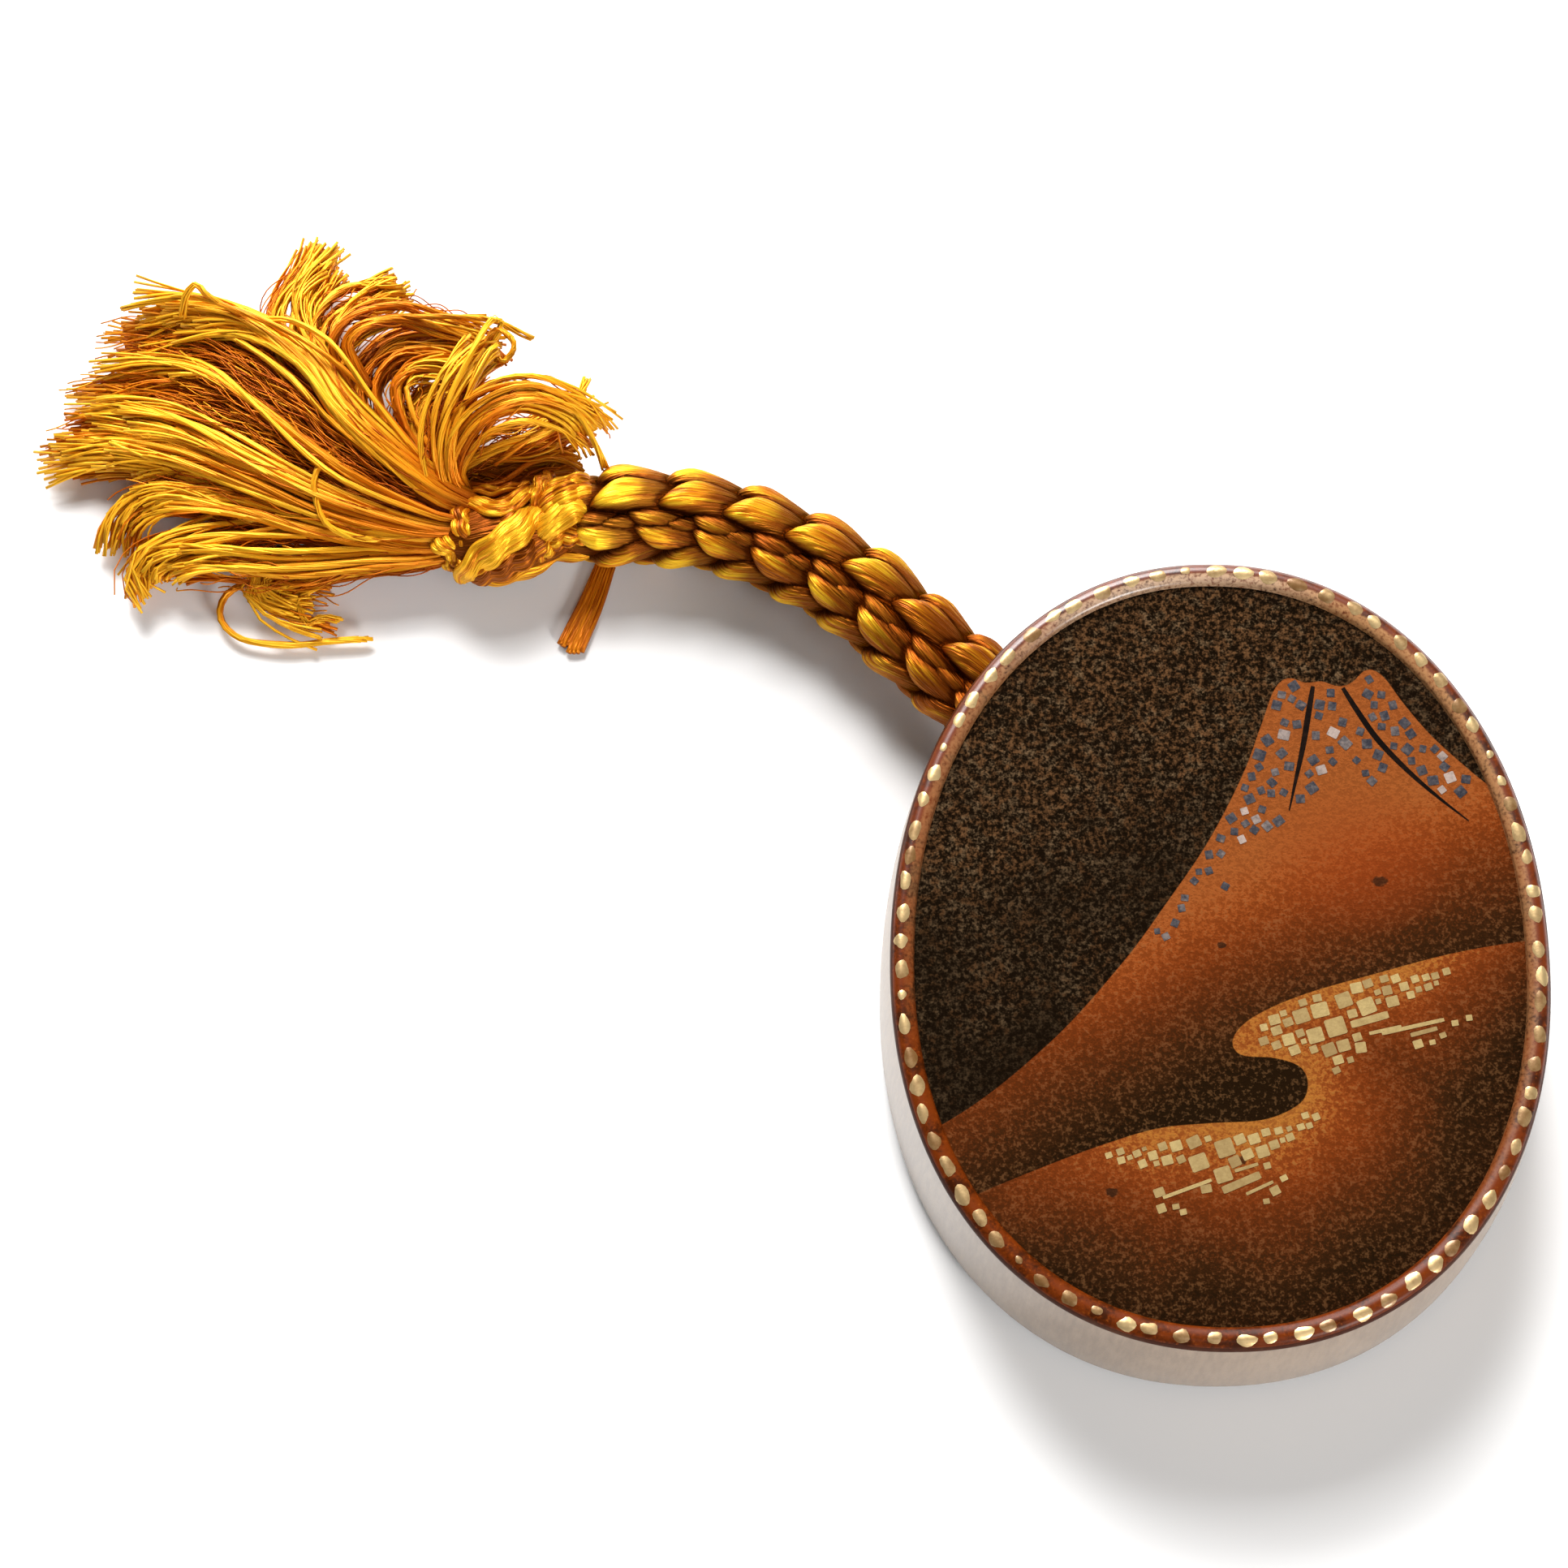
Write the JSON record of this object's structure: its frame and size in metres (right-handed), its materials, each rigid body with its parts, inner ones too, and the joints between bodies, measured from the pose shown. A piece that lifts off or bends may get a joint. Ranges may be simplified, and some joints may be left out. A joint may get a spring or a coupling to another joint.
{
  "type": "lacquer manju netsuke",
  "caption": "Oval lacquered toggle with a raised rim round a recessed painted panel, on a braided silk cord that ends in a knot and a frayed tassel.",
  "frame": {"origin": "middle of the flat back of the oval toggle, on the surface that it lies on", "axes": "+Z out of the painted face, +X to the picture's right, +Y to the picture's top, along the oval's long axis"},
  "size_m": [0.0883, 0.0695, 0.011],
  "materials": {
    "lacquer": "polished brown lacquer over wood, sprinkled with gold powder and inlaid with gold and shell squares",
    "braid_silk": "round braid of glossy golden silk",
    "knot_silk": "knotted golden silk with a satin sheen",
    "tassel_silk": "loose frayed golden silk threads",
    "strip_silk": "flat brown cut end of silk"
  },
  "bodies": {
    "root": {"netsuke_body": "lacquer", "cord_braid": "braid_silk", "cord_knot": "knot_silk", "cord_tassel": "tassel_silk", "cord_strip_end": "strip_silk"}
  },
  "joints": []
}
